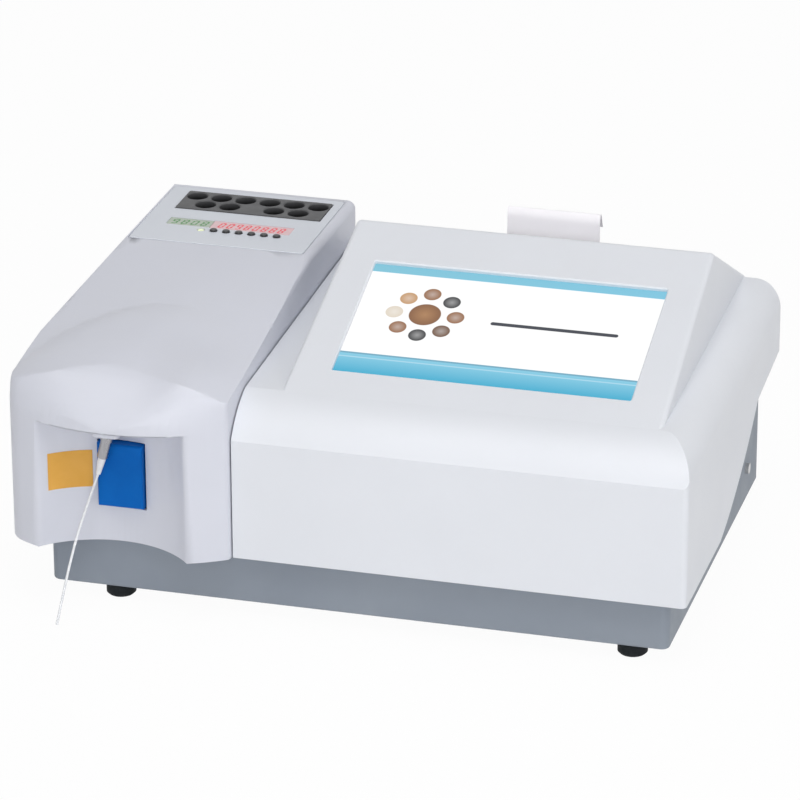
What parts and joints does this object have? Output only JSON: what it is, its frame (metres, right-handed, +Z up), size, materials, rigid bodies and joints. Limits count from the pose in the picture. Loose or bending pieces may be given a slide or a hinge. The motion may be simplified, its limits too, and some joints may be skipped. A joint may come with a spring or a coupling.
{
  "type": "blood analyzer",
  "caption": "Bench-top blood analyzer with a sloped touch display, a side reader with heated wells and keys, a scooped sampling recess and a lidded printer behind.",
  "frame": {"origin": "centre of the footprint on the surface that the feet stand on, the sample tube left out", "axes": "+X to the instrument's right, +Y to its rear, +Z up"},
  "size_m": [0.4026, 0.2991, 0.1924],
  "materials": {
    "white_shell": "satin moulded shell",
    "panel_grey": "matte light grey",
    "tray_grey": "satin powder coat",
    "zinc_sheet": "zinc plated",
    "rubber_black": "matte",
    "screw_steel": "bright",
    "black_plastic": "fine texture",
    "dark_plastic": "smooth",
    "socket_metal": "plated",
    "screen_glass": "lit display under glass",
    "board_green": "solder mask",
    "paper_white": "smooth thermal paper",
    "black_metal": "black anodised",
    "heater_orange": "heater film",
    "display_green": "green window",
    "display_red": "red window",
    "lamp_green": "small lamp",
    "clear_plastic": "clear plastic",
    "trigger_blue": "satin blue",
    "sticker_amber": "vinyl",
    "white_plastic": "smooth",
    "motor_metal": "motor can",
    "key_black": "smooth"
  },
  "bodies": {
    "housing": {"aspiration_nozzle": "screw_steel", "aspiration_tube": "clear_plastic", "base_tray": "tray_grey", "control_panel": "panel_grey", "cover_screws": "screw_steel", "data_ports": "socket_metal", "detector_board": "board_green", "fan_frame": "black_plastic", "filter_motor": "motor_metal", "flow_cell": "black_metal", "front_sticker": "sticker_amber", "incubator_block": "black_metal", "incubator_bracket": "zinc_sheet", "incubator_heater": "heater_orange", "lamp_house": "black_metal", "lcd_carrier": "zinc_sheet", "lcd_module": "dark_plastic", "main_board": "board_green", "main_cover": "white_shell", "nozzle_mount": "white_shell", "nozzle_tip": "clear_plastic", "optical_bench": "black_metal", "panel_board": "board_green", "paper_strip": "paper_white", "power_inlet": "black_plastic", "power_supply": "board_green", "power_switch": "black_plastic", "print_head": "dark_plastic", "printer_frame": "dark_plastic", "printer_hinge_pin": "screw_steel", "pump_housing": "dark_plastic", "pump_motor": "motor_metal", "reader_cover": "white_shell", "rear_panel": "zinc_sheet", "rubber_feet": "rubber_black", "short_screws": "screw_steel", "status_lamp": "lamp_green", "temperature_display": "display_green", "timer_display": "display_red", "touch_panel": "screen_glass", "trigger_bracket": "zinc_sheet", "trigger_pin": "screw_steel", "trigger_switch": "dark_plastic", "waste_outlet": "socket_metal"},
    "printer_lid": {"printer_lid": "white_shell"},
    "platen_roller": {"platen_roller": "rubber_black"},
    "paper_roll": {"paper_roll": "paper_white"},
    "trigger_plate": {"trigger_plate": "trigger_blue"},
    "trigger_plunger": {"trigger_plunger": "black_plastic"},
    "power_rocker": {"power_rocker": "black_plastic"},
    "fan_rotor": {"fan_rotor": "black_plastic"},
    "pump_rotor": {"pump_rotor": "white_plastic"},
    "filter_wheel": {"filter_wheel": "black_metal"},
    "timer_key_1": {"timer_key_1": "key_black"},
    "timer_key_2": {"timer_key_2": "key_black"},
    "timer_key_3": {"timer_key_3": "key_black"},
    "timer_key_4": {"timer_key_4": "key_black"},
    "timer_key_5": {"timer_key_5": "key_black"},
    "timer_key_6": {"timer_key_6": "key_black"}
  },
  "joints": [
    {"name": "printer_lid_hinge", "type": "hinge", "parent": "housing", "child": "printer_lid", "pos_m": [0.07225, 0.12842, 0.14728], "axis": [-1, 0, 0], "range_deg": [0, 80]},
    {"name": "paper_roll_spin", "type": "hinge", "parent": "housing", "child": "paper_roll", "pos_m": [0.07225, 0.09983, 0.13847], "axis": [1, 0, 0], "continuous": true},
    {"name": "platen_spin", "type": "hinge", "parent": "housing", "child": "platen_roller", "pos_m": [0.07225, 0.08668, 0.16257], "axis": [1, 0, 0], "continuous": true},
    {"name": "trigger_hinge", "type": "hinge", "parent": "housing", "child": "trigger_plate", "pos_m": [-0.13355, -0.102, 0.0993], "axis": [1, 0, 0], "range_deg": [0, 5], "stiffness_Nm_per_rad": 0.5},
    {"name": "trigger_plunger_slide", "type": "slide", "parent": "housing", "child": "trigger_plunger", "axis": [0, 1, 0], "range_m": [0, 0.0018]},
    {"name": "power_rocker_tilt", "type": "hinge", "parent": "housing", "child": "power_rocker", "pos_m": [0.10525, 0.131, 0.0417], "axis": [0, 0, 1], "range_deg": [0, 20]},
    {"name": "fan_spin", "type": "hinge", "parent": "housing", "child": "fan_rotor", "pos_m": [0.05125, 0.126, 0.0417], "axis": [0, 1, 0], "continuous": true},
    {"name": "pump_spin", "type": "hinge", "parent": "housing", "child": "pump_rotor", "pos_m": [-0.01795, -0.077, 0.0347], "axis": [0, 1, 0], "continuous": true},
    {"name": "filter_wheel_spin", "type": "hinge", "parent": "housing", "child": "filter_wheel", "pos_m": [-0.12775, -0.043, 0.0677], "axis": [1, 0, 0], "continuous": true},
    {"name": "timer_key_1_press", "type": "slide", "parent": "housing", "child": "timer_key_1", "axis": [0, 0, -1], "range_m": [0, 0.0006], "stiffness_N_per_m": 400},
    {"name": "timer_key_2_press", "type": "slide", "parent": "housing", "child": "timer_key_2", "axis": [0, 0, -1], "range_m": [0, 0.0006], "stiffness_N_per_m": 400},
    {"name": "timer_key_3_press", "type": "slide", "parent": "housing", "child": "timer_key_3", "axis": [0, 0, -1], "range_m": [0, 0.0006], "stiffness_N_per_m": 400},
    {"name": "timer_key_4_press", "type": "slide", "parent": "housing", "child": "timer_key_4", "axis": [0, 0, -1], "range_m": [0, 0.0006], "stiffness_N_per_m": 400},
    {"name": "timer_key_5_press", "type": "slide", "parent": "housing", "child": "timer_key_5", "axis": [0, 0, -1], "range_m": [0, 0.0006], "stiffness_N_per_m": 400},
    {"name": "timer_key_6_press", "type": "slide", "parent": "housing", "child": "timer_key_6", "axis": [0, 0, -1], "range_m": [0, 0.0006], "stiffness_N_per_m": 400}
  ],
  "couplings": [
    {"joint": "paper_roll_spin", "follows": "platen_spin", "ratio": 0.2353},
    {"joint": "trigger_plunger_slide", "follows": "trigger_hinge", "m_per_rad": 0.02}
  ]
}
